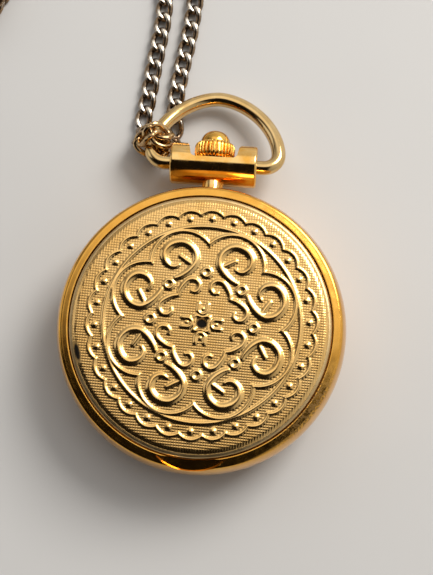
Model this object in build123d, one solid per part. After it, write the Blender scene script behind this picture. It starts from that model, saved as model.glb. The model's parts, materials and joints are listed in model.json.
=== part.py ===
"""A gold-plated pocket watch on a neck chain: embossed back, bow on a round bar, quartz movement.

Millimetres. The watch lies on its face. The origin is the centre of the crystal's outer face. +Z points out
of the embossed back. +Y points to 12 o'clock, where the crown and the bow are. +X is to the right seen from
the back.
"""

from build123d import *
import math
import os

# ---- the case ------------------------------------------------------------------------------------
CASE_R = 17.5  # the widest radius, about half way up
RING_OUT_R = 16.85  # the polished ring round the back cover
WELL_R = 15.80  # the recess that the back cover sits in
RING_TOP_Z = 10.05
LEDGE_Z = 8.90  # the ledge that carries the back cover
BORE_R = 14.75  # the bore that the movement holder fits
FLANGE_R = 13.90  # the flange in front of the dial's edge
FLANGE_Z = 3.40
BEZEL_TOP_Z = 1.90
BEZEL_OUT_R = 16.60
COLLAR_IN_R = 15.30  # the bezel's collar
COLLAR_OUT_R = 15.60
COLLAR_TOP_Z = 2.60
NOTCH_HALF_W = 3.95  # the thumbnail notch at 6 o'clock
NOTCH_DEPTH = 1.15
NOTCH_DROP = 1.05

# ---- the glass -----------------------------------------------------------------------------------
CRYSTAL_R = 14.05
CRYSTAL_T = 1.20
GASKET_R = 14.40
LIP_R = 13.60

# ---- the back cover ------------------------------------------------------------------------------
COVER_R = 15.66
COVER_FACE_R = 14.69  # the embossed field
COVER_FACE_Z = 10.65
COVER_EDGE_Z = 10.10
COVER_UNDER_Z = 9.90
COVER_FOOT_Z = 8.98
SKIRT_OUT_R = 14.70  # the skirt that presses into the case
SKIRT_IN_R = 14.20
SKIRT_Z = 7.90
CIRCLE_R = 11.58  # the plain raised ring of the ornament
RELIEF = 0.30  # how far the ornament stands above the field
LOBES = 8
ORNAMENT_TURN = -2.0  # degrees from the case's own axes

# ---- pendant, bar, bow and crown -----------------------------------------------------------------
STEM_Z = 4.60  # the height of the stem, the bar and the bow's pivot
STEM_R = 0.45
TUBE_R = 1.35
TUBE_END_Y = 19.60
BAR_Y = 21.20
BAR_R = 2.63
BAR_HALF_W = 5.45
SADDLE_Y = 21.60
SADDLE_HALF_W = 2.80
SADDLE_TOP_HALF_W = 3.05
STEM_BORE_R = 0.60
WIRE_R = 0.90
PIVOT_BORE_R = 0.95
PIVOT_DEPTH = 1.25
BOW_HALF_W = 8.10  # to the wire's centre
BOW_REACH = 9.90  # from the pivot to the wire's centre at the top
BOW_WAIST = 1.85  # how far out the bow is widest, and the radius of its lower corners
BOW_POWER = 1.77  # the bow's arch is a superellipse of this power
BOW_DROOP = 15.0  # degrees below level, resting on the chain
CROWN_IN_Y = 21.85
CROWN_BAND_END_Y = 24.00
CROWN_TOP_Y = 25.60
CROWN_R = 2.45
CROWN_DOME_R = 1.85
FLUTES = 30

# ---- dial and hands ------------------------------------------------------------------------------
DIAL_R = 14.50
DIAL_TOP_Z = 3.75
DIAL_HOLE_R = 0.80
INDEX_IN_R = 11.70
INDEX_OUT_R = 13.20
INDEX_T = 0.12
HOUR_HAND_Z = 2.87
MINUTE_HAND_Z = 2.42
SECOND_HAND_Z = 2.00
HOUR_HAND_L = 7.60
MINUTE_HAND_L = 11.40
SECOND_HAND_L = 12.20
HAND_T = 0.12
REST_TIME = (10, 9)  # hours and minutes shown at rest

# ---- movement ------------------------------------------------------------------------------------
PLATE_R = 10.50
PLATE_TOP_Z = 4.95
RECESS_Z = 4.25  # the motion work turns under this, on the dial side
BRIDGE_Z = 6.60
BRIDGE_T = 0.35
HOLDER_R = 14.60
HOLDER_IN_R = 10.56
HOLDER_TOP_Z = 7.60
SECOND_ARBOR_R = 0.17
CANNON_R = 0.36
CANNON_BORE_R = 0.22
HOUR_PIPE_BORE_R = 0.42
HOUR_PIPE_R = 0.62
ARBOR_R = 0.12
PIVOT_PLAY = 0.03
PILLARS = [(-5.6, 1.6), (1.9, 3.1), (-5.6, -2.9), (5.2, -0.4)]
PILLAR_R = 0.50
SCREW_R = 0.25
BATTERY_AT = (6.0, 3.6)
BATTERY_R = 3.40
BATTERY_Z = 5.00
COIL_Y = -6.90
COIL_Z = 6.00
COIL_R = 1.00
COIL_HALF_L = 4.00
CORE_HALF_L = 5.60

# ---- gear pairs: teeth of the wheel, teeth of the pinion, module ---------------------------------
MOTION_MODULE = 0.100
CANNON_TEETH, MINUTE_WHEEL_TEETH = 10, 30
MINUTE_PINION_TEETH, HOUR_WHEEL_TEETH = 8, 32
CENTRE_TEETH, THIRD_PINION_TEETH = 60, 8
CENTRE_MODULE = 0.080
THIRD_TEETH, SECOND_PINION_TEETH = 64, 8
SECOND_TEETH, IDLER_PINION_TEETH = 60, 10
SECOND_MODULE = 0.070
IDLER_TEETH, ROTOR_PINION_TEETH = 45, 9
ROTOR_MODULE = 0.060
MINUTE_WHEEL_ANGLE = 127.0  # where each arbor stands, degrees from +X about the one before it
THIRD_ANGLE = 200.0
IDLER_ANGLE = -20.0
ROTOR_ANGLE = -60.0

# ---- chain ---------------------------------------------------------------------------------------
CHAIN_R = 0.65  # the plain tube that stands for the chain
LEFT_ROUTE = [
    (-10.0, 27.0),
    (-9.5, 30.6),
    (-9.0, 36.0),
    (-8.1, 43.5),
    (-8.9, 50.4),
    (-14.2, 54.3),
    (-21.6, 54.8),
    (-27.6, 52.6),
    (-29.9, 47.6),
]
RIGHT_ROUTE = [
    (-5.5, 26.0),
    (-6.0, 29.6),
    (-5.5, 34.4),
    (-4.6, 40.2),
    (-4.1, 47.0),
    (-6.2, 53.6),
    (-12.6, 58.0),
    (-21.5, 59.2),
    (-30.0, 59.2),
    (-37.0, 58.2),
]
COIL_AT = (-40.4, 48.0)
CHAIN_COIL_IN_R = 6.0
CHAIN_COIL_OUT_R = 12.0
CHAIN_COIL_T = 3.9
CLASP_TOP_Z = 5.6
HITCH_SPAN = (1.9, 4.7)  # how far out along the bow the hitch begins and ends
HITCH_R = 2.10

parts = {}


def polar(radius, degrees, centre=(0.0, 0.0)):
    """A point at a radius and an angle from +X about a centre."""
    a = math.radians(degrees)
    return (centre[0] + radius * math.cos(a), centre[1] + radius * math.sin(a))


def disc(radius, low, high, at=(0.0, 0.0)):
    """An upright cylinder between two heights."""
    return Pos(at[0], at[1], (low + high) / 2) * Cylinder(radius, high - low)


def ring(outer, inner, low, high, at=(0.0, 0.0)):
    """An upright tube between two heights."""
    return disc(outer, low, high, at) - disc(inner, low - 0.1, high + 0.1, at)


def block(x0, x1, y0, y1, z0, z1):
    """A box between two corners."""
    return Pos((x0 + x1) / 2, (y0 + y1) / 2, (z0 + z1) / 2) * Box(x1 - x0, y1 - y0, z1 - z0)


def rod_y(radius, y0, y1, x=0.0, z=STEM_Z):
    """A cylinder along Y."""
    return Pos(x, (y0 + y1) / 2, z) * Rot(90, 0, 0) * Cylinder(radius, y1 - y0)


def rod_x(radius, x0, x1, y, z):
    """A cylinder along X."""
    return Pos((x0 + x1) / 2, y, z) * Rot(0, 90, 0) * Cylinder(radius, x1 - x0)


def turned(*edges):
    """A solid turned about Z from a closed outline in the XZ plane."""
    return revolve(make_face(Plane.XZ * Wire(list(edges))), Axis.Z)


def gear(teeth, module, low, high, at=(0.0, 0.0), faces=0.0, gap=False):
    """A spur gear with a tooth, or a gap, facing a direction given in degrees."""
    pitch = 360.0 / teeth
    pitch_r = teeth * module / 2
    tip, root = pitch_r + 0.90 * module, pitch_r - 1.15 * module
    start = faces + (pitch / 2 if gap else 0.0)
    points = []
    for i in range(teeth):
        middle = start + i * pitch
        points.append(polar(root, middle - 0.33 * pitch))
        points.append(polar(tip, middle - 0.12 * pitch))
        points.append(polar(tip, middle + 0.12 * pitch))
        points.append(polar(root, middle + 0.33 * pitch))
    face = make_face(Polyline(*points, close=True))
    return Pos(at[0], at[1], low) * extrude(face, high - low)


def pair_distance(a, b, module):
    """The distance between the arbors of two gears in mesh."""
    return (a + b) * module / 2


# ---- where the arbors stand ----------------------------------------------------------------------
THIRD_DISTANCE = pair_distance(CENTRE_TEETH, THIRD_PINION_TEETH, CENTRE_MODULE)
THIRD_MODULE = 2 * THIRD_DISTANCE / (THIRD_TEETH + SECOND_PINION_TEETH)
THIRD_AT = polar(THIRD_DISTANCE, THIRD_ANGLE)
IDLER_AT = polar(pair_distance(SECOND_TEETH, IDLER_PINION_TEETH, SECOND_MODULE), IDLER_ANGLE)
ROTOR_AT = polar(pair_distance(IDLER_TEETH, ROTOR_PINION_TEETH, ROTOR_MODULE), ROTOR_ANGLE, IDLER_AT)
MINUTE_WHEEL_AT = polar(pair_distance(CANNON_TEETH, MINUTE_WHEEL_TEETH, MOTION_MODULE), MINUTE_WHEEL_ANGLE)


def case_middle():
    """The body of the case: a bulged ring with the cover's well on top and the bezel's groove below."""
    low_in, low_out = (FLANGE_R, BEZEL_TOP_Z), (BEZEL_OUT_R, BEZEL_TOP_Z)
    body = turned(
        Line(low_in, low_out),
        ThreePointArc(low_out, (CASE_R - 0.25, 3.3), (CASE_R, 5.2)),
        ThreePointArc((CASE_R, 5.2), (CASE_R - 0.06, 8.1), (RING_OUT_R, RING_TOP_Z - 0.18)),
        Line((RING_OUT_R, RING_TOP_Z - 0.18), (RING_OUT_R - 0.15, RING_TOP_Z)),
        Line((RING_OUT_R - 0.15, RING_TOP_Z), (WELL_R + 0.08, RING_TOP_Z)),
        Line((WELL_R + 0.08, RING_TOP_Z), (WELL_R, RING_TOP_Z - 0.08)),
        Line((WELL_R, RING_TOP_Z - 0.08), (WELL_R, LEDGE_Z)),
        Line((WELL_R, LEDGE_Z), (BORE_R, LEDGE_Z)),
        Line((BORE_R, LEDGE_Z), (BORE_R, FLANGE_Z)),
        Line((BORE_R, FLANGE_Z), (FLANGE_R, FLANGE_Z)),
        Line((FLANGE_R, FLANGE_Z), low_in),
    )
    body -= ring(COLLAR_OUT_R + 0.04, COLLAR_IN_R - 0.04, BEZEL_TOP_Z - 0.1, COLLAR_TOP_Z + 0.06)
    body -= ring(15.50, 15.00, LEDGE_Z - 0.35, LEDGE_Z + 0.1)
    body -= rod_y(TUBE_R + 0.01, BORE_R - 1.0, CASE_R + 1.0)
    return body - notch_cutter()


def notch_cutter():
    """A crescent cut at 6 o'clock: an upright barrel whose wall crosses the ring, sunk below its top."""
    inner_y = -WELL_R + 0.35
    depth = NOTCH_DEPTH + 0.35
    radius = (NOTCH_HALF_W**2 + depth**2) / (2 * depth)
    barrel = disc(radius, RING_TOP_Z - NOTCH_DROP, RING_TOP_Z + 1.0, (0, inner_y - depth + radius))
    low, high = RING_TOP_Z - 2.0, RING_TOP_Z + 2.0
    keep = block(-NOTCH_HALF_W, NOTCH_HALF_W, inner_y - 3.0, inner_y, low, high)
    return barrel & keep


def case_bezel():
    """The front bezel: it holds the crystal, and its collar presses into the case."""
    body = turned(
        Line((LIP_R, 0), (15.1, 0)),
        ThreePointArc((15.1, 0), (16.22, 0.62), (BEZEL_OUT_R, BEZEL_TOP_Z)),
        Line((BEZEL_OUT_R, BEZEL_TOP_Z), (COLLAR_OUT_R, BEZEL_TOP_Z)),
        Line((COLLAR_OUT_R, BEZEL_TOP_Z), (COLLAR_OUT_R, COLLAR_TOP_Z)),
        Line((COLLAR_OUT_R, COLLAR_TOP_Z), (COLLAR_IN_R, COLLAR_TOP_Z)),
        Line((COLLAR_IN_R, COLLAR_TOP_Z), (COLLAR_IN_R, BEZEL_TOP_Z)),
        Line((COLLAR_IN_R, BEZEL_TOP_Z), (GASKET_R, BEZEL_TOP_Z)),
        Line((GASKET_R, BEZEL_TOP_Z), (GASKET_R, 0.35)),
        Line((GASKET_R, 0.35), (LIP_R, 0.35)),
        Line((LIP_R, 0.35), (LIP_R, 0)),
    )
    return body


def crystal():
    """The glass: flush with the lip in front, with a wider foot that the lip holds."""
    return disc(LIP_R - 0.02, 0, 0.40) + disc(CRYSTAL_R, 0.37, CRYSTAL_T)


def back_cover():
    """The embossed press-on back: a rolled rim, a raised field, and plain rings for its ornament."""
    body = turned(
        Line((0, COVER_UNDER_Z), (SKIRT_IN_R, COVER_UNDER_Z)),
        Line((SKIRT_IN_R, COVER_UNDER_Z), (SKIRT_IN_R, SKIRT_Z)),
        Line((SKIRT_IN_R, SKIRT_Z), (SKIRT_OUT_R, SKIRT_Z)),
        Line((SKIRT_OUT_R, SKIRT_Z), (SKIRT_OUT_R, COVER_FOOT_Z)),
        Line((SKIRT_OUT_R, COVER_FOOT_Z), (COVER_R, COVER_FOOT_Z)),
        Line((COVER_R, COVER_FOOT_Z), (COVER_R, COVER_EDGE_Z)),
        ThreePointArc(
            (COVER_R, COVER_EDGE_Z), (COVER_R - 0.26, COVER_EDGE_Z + 0.42), (COVER_FACE_R, COVER_FACE_Z)
        ),
        Line((COVER_FACE_R, COVER_FACE_Z), (0, COVER_FACE_Z)),
        Line((0, COVER_FACE_Z), (0, COVER_UNDER_Z)),
    )
    top = COVER_FACE_Z + RELIEF
    body += ring(CIRCLE_R + 0.17, CIRCLE_R - 0.17, COVER_FACE_Z - 0.1, top)
    body += ring(0.9, 0.3, COVER_FACE_Z - 0.1, top)
    for i in range(LOBES):
        axis = ORNAMENT_TURN + i * 360 / LOBES
        body += ring(0.66, 0.3, COVER_FACE_Z - 0.1, top, polar(6.04, axis))
        body += ring(2.05, 1.45, COVER_FACE_Z - 0.1, top, polar(7.80, axis + 180 / LOBES))
    return body


def pendant_tube():
    """The neck between the case and the bar, bored for the stem."""
    return rod_y(TUBE_R, BORE_R + 0.2, TUBE_END_Y) - rod_y(STEM_BORE_R, BORE_R, TUBE_END_Y + 1)


def bow_bar():
    """The round bar that holds the bow: a saddle for the crown, a socket for the neck and two pivot holes."""
    half, edge = BAR_HALF_W, 0.35
    bar = rod_x(BAR_R, -half + edge, half - edge, BAR_Y, STEM_Z)
    for side in (-1, 1):
        end = Rot(0, side * 90, 0) * Cone(BAR_R, BAR_R - 0.3, edge)
        bar += Pos(side * (half - edge / 2), BAR_Y, STEM_Z) * end
        inner, outer = sorted((side * (half - PIVOT_DEPTH), side * (half + 1)))
        bar -= rod_x(PIVOT_BORE_R, inner, outer, BAR_Y, STEM_Z)
    saddle = make_face(
        Polyline(
            (-SADDLE_HALF_W, SADDLE_Y),
            (SADDLE_HALF_W, SADDLE_Y),
            (SADDLE_TOP_HALF_W, BAR_Y + BAR_R + 0.5),
            (-SADDLE_TOP_HALF_W, BAR_Y + BAR_R + 0.5),
            close=True,
        )
    )
    bar -= Pos(0, 0, STEM_Z - BAR_R - 1) * extrude(saddle, 2 * BAR_R + 2)
    bar -= rod_y(TUBE_R + 0.01, BAR_Y - BAR_R - 1, TUBE_END_Y + 0.01)
    return bar - rod_y(STEM_BORE_R, TUBE_END_Y, SADDLE_Y + 1)


def bow_plane():
    """The plane that the bow lies in: X across, Y out from its pivot."""
    droop = math.radians(BOW_DROOP)
    return Plane(origin=(0, BAR_Y, STEM_Z), x_dir=(1, 0, 0), z_dir=(0, math.sin(droop), math.cos(droop)))


def bow_wire():
    """The bow: round wire from pivot to pivot, with small lower corners under a superellipse arch."""
    arch = []
    steps = 12
    for i in range(1, steps):
        a = math.pi * i / steps
        x = BOW_HALF_W * math.copysign(abs(math.cos(a)) ** (2 / BOW_POWER), math.cos(a))
        arch.append((x, BOW_WAIST + (BOW_REACH - BOW_WAIST) * math.sin(a) ** (2 / BOW_POWER)))
    start, corner = BAR_HALF_W - PIVOT_DEPTH + 0.1, BOW_HALF_W - BOW_WAIST
    bend = BOW_WAIST * (1 - math.sqrt(0.5))
    right, left = (BOW_HALF_W, BOW_WAIST), (-BOW_HALF_W, BOW_WAIST)
    path = Wire(
        [
            Line((start, 0), (corner, 0)),
            ThreePointArc((corner, 0), (BOW_HALF_W - bend, bend), right),
            Spline(right, *arch, left, tangents=[(0, 1), (0, -1)]),
            ThreePointArc(left, (bend - BOW_HALF_W, bend), (-corner, 0)),
            Line((-corner, 0), (-start, 0)),
        ]
    )
    path = bow_plane() * path
    section = Plane(origin=(start, BAR_Y, STEM_Z), z_dir=(1, 0, 0)) * Circle(WIRE_R)
    return sweep(section, path)


def crown_cap():
    """The fluted crown with its dome, bored for the stem."""
    pitch, valley = 360 / FLUTES, CROWN_R - 0.22
    points = []
    for i in range(FLUTES):
        points.append(polar(valley, i * pitch - 0.36 * pitch))
        points.append(polar(CROWN_R, i * pitch - 0.20 * pitch))
        points.append(polar(CROWN_R, i * pitch + 0.20 * pitch))
        points.append(polar(valley, i * pitch + 0.36 * pitch))
    length, height, shoulder = CROWN_BAND_END_Y - CROWN_IN_Y, CROWN_TOP_Y - CROWN_BAND_END_Y, 0.22
    band = Pos(0, 0, shoulder) * extrude(make_face(Polyline(*points, close=True)), length - 2 * shoulder)
    dome = Pos(0, 0, length + height - CROWN_DOME_R) * Sphere(CROWN_DOME_R)
    cap = band + disc(CROWN_R - 0.34, 0, length) + dome - disc(STEM_R, -0.1, 1.3)
    return Pos(0, CROWN_IN_Y, STEM_Z) * Rot(-90, 0, 0) * cap


def stem():
    """The winding stem, waisted where the setting lever's pin sits."""
    return rod_y(STEM_R, 4.5, CROWN_IN_Y + 1.3) - (rod_y(STEM_R + 0.1, 5.8, 7.2) - rod_y(0.2, 5.8, 7.2))


def clutch_pinion():
    """The pinion on the stem's inner end that turns the hands when the crown is out."""
    teeth = gear(12, 0.10, 0, 0.95) - disc(STEM_R, -0.1, 1.1)
    return Pos(0, 4.5, STEM_Z) * Rot(-90, 0, 0) * teeth


def main_plate():
    """The plate that carries the train: recessed under the dial, slotted for the stem and bored."""
    plate = disc(PLATE_R, DIAL_TOP_Z, PLATE_TOP_Z)
    plate -= disc(2.30, DIAL_TOP_Z - 0.1, RECESS_Z)
    plate -= disc(1.75, DIAL_TOP_Z - 0.1, RECESS_Z, MINUTE_WHEEL_AT)
    plate -= disc(CANNON_R + PIVOT_PLAY, DIAL_TOP_Z, PLATE_TOP_Z + 0.1)
    for at in (THIRD_AT, IDLER_AT, ROTOR_AT, MINUTE_WHEEL_AT):
        plate -= disc(ARBOR_R + PIVOT_PLAY, DIAL_TOP_Z + 0.3, PLATE_TOP_Z + 0.1, at)
    for at in ((8.6, -3.6), (-8.6, -3.6)):
        plate -= disc(0.37, DIAL_TOP_Z - 0.1, 4.6, at)
    return plate - block(-1.0, 1.0, 4.3, PLATE_R + 1, DIAL_TOP_Z - 0.1, PLATE_TOP_Z + 0.1)


def train_bridge():
    """The bridge over the train, on four pillars."""
    corners = [(-6.4, -3.6), (4.4, -3.6), (5.9, -1.2), (5.9, 0.1)]
    corners += [(4.6, 0.1), (2.8, 1.9), (2.4, 3.7), (-6.4, 2.4)]
    bridge = Pos(0, 0, BRIDGE_Z) * extrude(make_face(Polyline(*corners, close=True)), BRIDGE_T)
    for at in PILLARS:
        bridge += disc(PILLAR_R, PLATE_TOP_Z, BRIDGE_Z + 0.01, at)
        bridge -= disc(SCREW_R + 0.01, BRIDGE_Z - 0.7, BRIDGE_Z + BRIDGE_T + 0.1, at)
    bridge -= disc(SECOND_ARBOR_R + PIVOT_PLAY, BRIDGE_Z - 0.1, BRIDGE_Z + BRIDGE_T + 0.1)
    for at in (THIRD_AT, IDLER_AT, ROTOR_AT):
        bridge -= disc(ARBOR_R + PIVOT_PLAY, BRIDGE_Z - 0.1, BRIDGE_Z + BRIDGE_T + 0.1, at)
    return bridge


def stator():
    """The soft iron plate round the rotor, with a leg to each end of the coil's core."""
    plate = block(1.9, 5.6, -4.4, -1.3, 5.4, 5.8) + block(4.6, 5.6, -7.4, -4.3, 5.4, 5.8)
    plate += block(-5.6, 2.0, -4.6, -3.8, 5.4, 5.8) + block(-5.6, -4.6, -7.4, -4.5, 5.4, 5.8)
    return plate - disc(0.70, 5.3, 5.9, ROTOR_AT)


def movement_screws():
    """Three slotted screws in the bridge's pillars."""
    screws = []
    head_z = BRIDGE_Z + BRIDGE_T
    for at in PILLARS[:2] + PILLARS[3:]:
        screw = disc(SCREW_R, BRIDGE_Z - 0.6, head_z, at) + disc(0.55, head_z, head_z + 0.3, at)
        slot = Pos(at[0], at[1], head_z + 0.3) * Box(1.2, 0.14, 0.24)
        screws.append(screw - slot)
    return screws


def hand(length, width, tail, eye_r, bore_r, low, minutes):
    """A hand: an eye on its arbor, a tapered blade and a tail, at its place on the dial."""
    half, wide, belly = width / 2, width * 0.62, length * 0.35
    right = [(half, 0), (wide, belly), (0.05, length)]
    left = [(-0.05, length), (-wide, belly), (-half, 0)]
    blade = make_face(Polyline(*right, *left, close=True))
    shape = extrude(blade, HAND_T) + Pos(0, 0, HAND_T / 2) * Cylinder(eye_r, HAND_T)
    if tail:
        shape += Pos(0, -tail / 2, HAND_T / 2) * Box(width, tail, HAND_T)
    shape -= Cylinder(bore_r, 2)
    return Pos(0, 0, low) * Rot(0, 0, minutes * 6) * shape


def dial_indexes():
    """Twelve applied batons on the dial, the quarters wider."""
    batons = []
    for hour in range(12):
        width = 0.9 if hour % 3 == 0 else 0.5
        baton = Pos(0, (INDEX_IN_R + INDEX_OUT_R) / 2, FLANGE_Z - INDEX_T / 2)
        baton *= Box(width, INDEX_OUT_R - INDEX_IN_R, INDEX_T)
        batons.append(Rot(0, 0, hour * 30) * baton)
    return batons


def arch_point(out):
    """A point on the left side of the bow's arch, at a distance out from its pivot."""
    share = ((out - BOW_WAIST) / (BOW_REACH - BOW_WAIST)) ** BOW_POWER
    return (-BOW_HALF_W * (1 - share) ** (1 / BOW_POWER), out)


def chain_hitch():
    """The sleeve of wound links that ties the chain round the bow's left side."""
    first, last = HITCH_SPAN
    ends = [arch_point(first), arch_point((first + last) / 2), arch_point(last)]
    path = bow_plane() * ThreePointArc(*ends)
    section = Plane(origin=path @ 0, z_dir=path % 0) * (Circle(HITCH_R) - Circle(WIRE_R + 0.15))
    return sweep(section, path)


def chain_tube(route):
    """A plain tube along a route on the floor: straight runs joined by the largest tangent arcs."""
    points = [Vector(x, y, CHAIN_R) for x, y in route]
    radii = []
    for before, here, after in zip(points, points[1:], points[2:]):
        turn = math.radians((here - before).get_angle(after - here))
        shorter = min((here - before).length, (after - here).length)
        radii.append(0.45 * shorter / math.tan(turn / 2))
    path = FilletPolyline(*points, radius=radii)
    tube = sweep(Plane(origin=points[0], z_dir=points[1] - points[0]) * Circle(CHAIN_R), path)
    print(f"chain: {path.length:.1f} mm, radii {[round(r, 1) for r in radii]}")
    return tube


def build():
    """Every sub-part, by node name."""
    hour, minute = REST_TIME
    parts["case_middle"] = case_middle()
    parts["case_bezel"] = case_bezel()
    parts["crystal"] = crystal()
    parts["crystal_gasket"] = ring(GASKET_R, CRYSTAL_R, 0.36, CRYSTAL_T)
    parts["back_cover"] = back_cover()
    parts["back_gasket"] = ring(15.47, 15.03, LEDGE_Z - 0.34, COVER_FOOT_Z - 0.01)
    parts["pendant_tube"] = pendant_tube()
    parts["bow_bar"] = bow_bar()
    parts["bow_wire"] = bow_wire()
    parts["crown_cap"] = crown_cap()
    parts["stem"] = stem()
    parts["stem_gasket"] = rod_y(STEM_BORE_R - 0.02, 20.0, 20.6) - rod_y(STEM_R + 0.01, 19.9, 20.7)
    parts["clutch_pinion"] = clutch_pinion()
    lever = block(-3.4, 0.5, 6.5, 7.3, 5.12, 5.30) + block(-3.4, -2.4, 6.5, 7.3, PLATE_TOP_Z, 5.2)
    parts["setting_lever"] = lever + disc(0.2, 4.85, 5.2, (0, 6.9))

    parts["dial"] = disc(DIAL_R, FLANGE_Z, DIAL_TOP_Z) - disc(DIAL_HOLE_R, 3, 4)
    for at in ((8.6, -3.6), (-8.6, -3.6)):
        parts["dial"] += disc(0.35, DIAL_TOP_Z - 0.1, 4.5, at)
    parts["dial_indexes"] = dial_indexes()
    hour_minutes = (hour % 12) * 5 + minute / 12
    parts["hour_hand"] = hand(HOUR_HAND_L, 1.1, 0, 1.0, HOUR_PIPE_R, HOUR_HAND_Z, hour_minutes)
    parts["minute_hand"] = hand(MINUTE_HAND_L, 0.8, 0, 0.8, CANNON_R, MINUTE_HAND_Z, minute)
    parts["second_hand"] = hand(SECOND_HAND_L, 0.18, 3.2, 0.5, SECOND_ARBOR_R, SECOND_HAND_Z, 35)

    parts["main_plate"] = main_plate()
    parts["train_bridge"] = train_bridge()
    parts["movement_screws"] = movement_screws()
    holder = ring(HOLDER_R, HOLDER_IN_R, DIAL_TOP_Z + 0.01, HOLDER_TOP_Z) - rod_y(0.7, 9, 16)
    for i in range(4):
        holder -= disc(1.5, 5.6, 8, polar(HOLDER_IN_R + 0.6, 45 + 90 * i))
    parts["movement_holder"] = holder

    third_faces, idler_faces, rotor_faces = THIRD_ANGLE, IDLER_ANGLE, ROTOR_ANGLE
    centre_tube = disc(CANNON_R, MINUTE_HAND_Z - 0.02, 5.35) - disc(CANNON_BORE_R, 2, 6)
    cannon = gear(CANNON_TEETH, MOTION_MODULE, 4.0, 4.22, faces=MINUTE_WHEEL_ANGLE)
    parts["cannon_pinion"] = centre_tube + (cannon - disc(CANNON_R - 0.05, 3.9, 4.3))
    centre_wheel = gear(CENTRE_TEETH, CENTRE_MODULE, 5.05, 5.20, faces=third_faces)
    parts["centre_wheel"] = centre_wheel - disc(CANNON_R, 5, 5.3)
    motion_faces = MINUTE_WHEEL_ANGLE + 180
    parts["minute_wheel"] = (
        gear(MINUTE_WHEEL_TEETH, MOTION_MODULE, 4.02, 4.17, MINUTE_WHEEL_AT, motion_faces, gap=True)
        + gear(MINUTE_PINION_TEETH, MOTION_MODULE, 3.79, 4.10, MINUTE_WHEEL_AT, motion_faces)
        + disc(ARBOR_R, 4.1, 4.9, MINUTE_WHEEL_AT)
    )
    parts["hour_wheel"] = (
        gear(HOUR_WHEEL_TEETH, MOTION_MODULE, 3.80, 3.95, faces=MINUTE_WHEEL_ANGLE, gap=True)
        + disc(HOUR_PIPE_R, HOUR_HAND_Z - 0.02, 3.9)
        - disc(HOUR_PIPE_BORE_R, 2.5, 4.1)
    )
    parts["third_wheel"] = (
        gear(THIRD_PINION_TEETH, CENTRE_MODULE, 5.00, 5.25, THIRD_AT, third_faces + 180, gap=True)
        + gear(THIRD_TEETH, THIRD_MODULE, 5.50, 5.62, THIRD_AT, third_faces + 180)
        + disc(ARBOR_R, 4.6, 6.9, THIRD_AT)
    )
    parts["second_wheel"] = (
        gear(SECOND_PINION_TEETH, THIRD_MODULE, 5.45, 5.70, faces=third_faces, gap=True)
        + gear(SECOND_TEETH, SECOND_MODULE, 5.95, 6.07, faces=idler_faces)
        + disc(SECOND_ARBOR_R, SECOND_HAND_Z - 0.03, 6.9)
    )
    parts["intermediate_wheel"] = (
        gear(IDLER_PINION_TEETH, SECOND_MODULE, 5.90, 6.12, IDLER_AT, idler_faces + 180, gap=True)
        + gear(IDLER_TEETH, ROTOR_MODULE, 6.25, 6.37, IDLER_AT, rotor_faces)
        + disc(ARBOR_R, 4.6, 6.9, IDLER_AT)
    )
    rotor_teeth = gear(ROTOR_PINION_TEETH, ROTOR_MODULE, 6.20, 6.42, ROTOR_AT, rotor_faces + 180, gap=True)
    parts["rotor_pinion"] = rotor_teeth + disc(ARBOR_R, 4.6, 6.9, ROTOR_AT)
    parts["rotor_magnet"] = ring(0.55, ARBOR_R, 5.3, 5.9, ROTOR_AT)

    parts["stator"] = stator()
    parts["coil_core"] = block(-CORE_HALF_L, CORE_HALF_L, COIL_Y - 0.5, COIL_Y + 0.5, 5.8, 6.2)
    core_slot = block(-5, 5, COIL_Y - 0.5, COIL_Y + 0.5, 5.8, 6.2)
    parts["coil_winding"] = rod_x(COIL_R, -COIL_HALF_L, COIL_HALF_L, COIL_Y, COIL_Z) - core_slot
    board = block(-10.2, -6.8, -4.6, 4.6, PLATE_TOP_Z, 5.15) & disc(PLATE_R - 0.3, 4, 6)
    parts["circuit_board"] = board
    parts["quartz_can"] = rod_y(0.75, -3.2, 1.8, -8.0, 5.15 + 0.75)
    parts["ic_cap"] = block(-8.9, -7.1, 2.3, 3.9, 5.15, 5.65)
    battery_top = disc(BATTERY_R - 0.5, 6.5, 7.15, BATTERY_AT)
    parts["battery"] = disc(BATTERY_R, BATTERY_Z, 6.6, BATTERY_AT) + battery_top
    clamp_foot = block(5, 7, 7.8, 8.0, PLATE_TOP_Z, 7.2)
    parts["battery_clamp"] = block(5, 7, 1.2, 8.0, 7.16, 7.31) + clamp_foot

    parts["chain_hitch"] = chain_hitch()
    parts["chain_strand_left"] = chain_tube(LEFT_ROUTE)
    parts["chain_strand_right"] = chain_tube(RIGHT_ROUTE)
    parts["chain_coil"] = ring(CHAIN_COIL_OUT_R, CHAIN_COIL_IN_R, 0, CHAIN_COIL_T, COIL_AT)
    clasp = Pos(COIL_AT[0] - 9.0, COIL_AT[1], (CHAIN_COIL_T + CLASP_TOP_Z) / 2)
    parts["chain_clasp"] = clasp * Box(3.2, 9.0, CLASP_TOP_Z - CHAIN_COIL_T)


build()
os.makedirs("parts", exist_ok=True)
for name, shape in parts.items():
    solids = shape if isinstance(shape, list) else [shape]
    export_step(Compound(children=solids) if len(solids) > 1 else solids[0], f"parts/{name}.step")
print(len(parts), "nodes")
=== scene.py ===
"""A pocket watch lying on its face on a pale floor, with a curb chain looped round its bow."""

import json
import math

import bmesh
import bpy
import numpy as np
from mathutils import Matrix, Vector

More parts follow.
